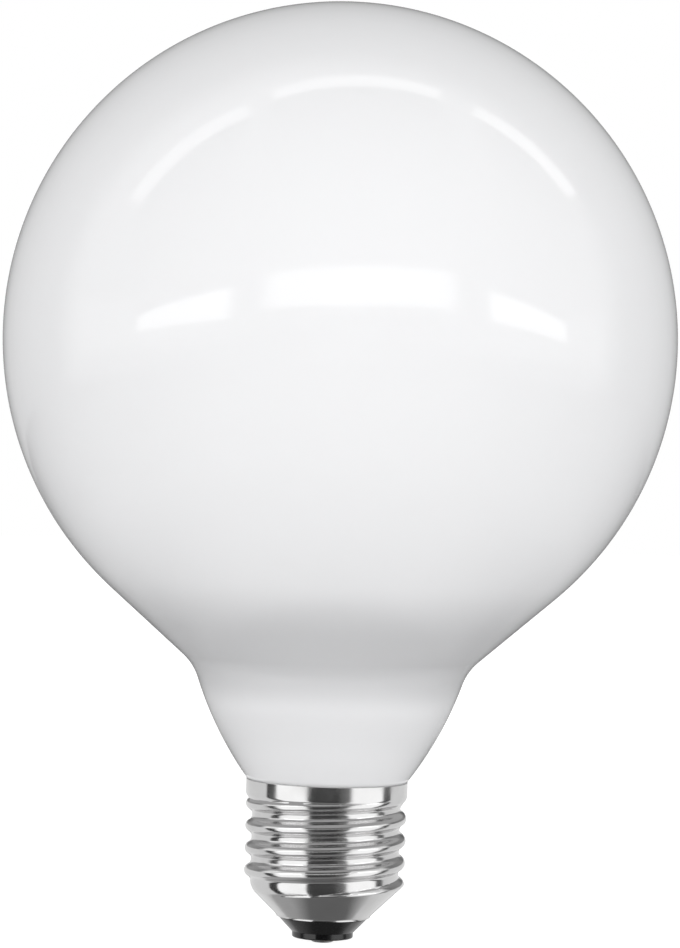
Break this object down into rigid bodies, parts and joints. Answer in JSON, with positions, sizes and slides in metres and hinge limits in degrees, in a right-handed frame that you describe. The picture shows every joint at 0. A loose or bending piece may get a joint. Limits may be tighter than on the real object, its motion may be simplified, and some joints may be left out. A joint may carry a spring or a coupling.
{
  "type": "globe light bulb",
  "caption": "Opal white globe bulb: a round blown glass globe on a flared neck, with a plated screw cap, black glass insulator and centre contact.",
  "frame": {"origin": "tip of the centre contact, on the bulb's axis: the end of the screw cap", "axes": "+Z along the axis from the cap to the crown of the globe; +X passes the first thread crest; -Y is the side the picture shows"},
  "size_m": [0.11, 0.11, 0.1534],
  "materials": {
    "opal_glass": "glossy opal white",
    "nickel_plate": "bright nickel plate on rolled sheet",
    "black_glass": "glossy black moulded glass",
    "tinned_brass": "pressed, lightly tinned",
    "solder": "dull tin solder"
  },
  "bodies": {
    "root": {"opal_globe": "opal_glass", "screw_shell": "nickel_plate", "insulator": "black_glass", "centre_contact": "tinned_brass", "contact_solder": "solder"}
  },
  "joints": []
}
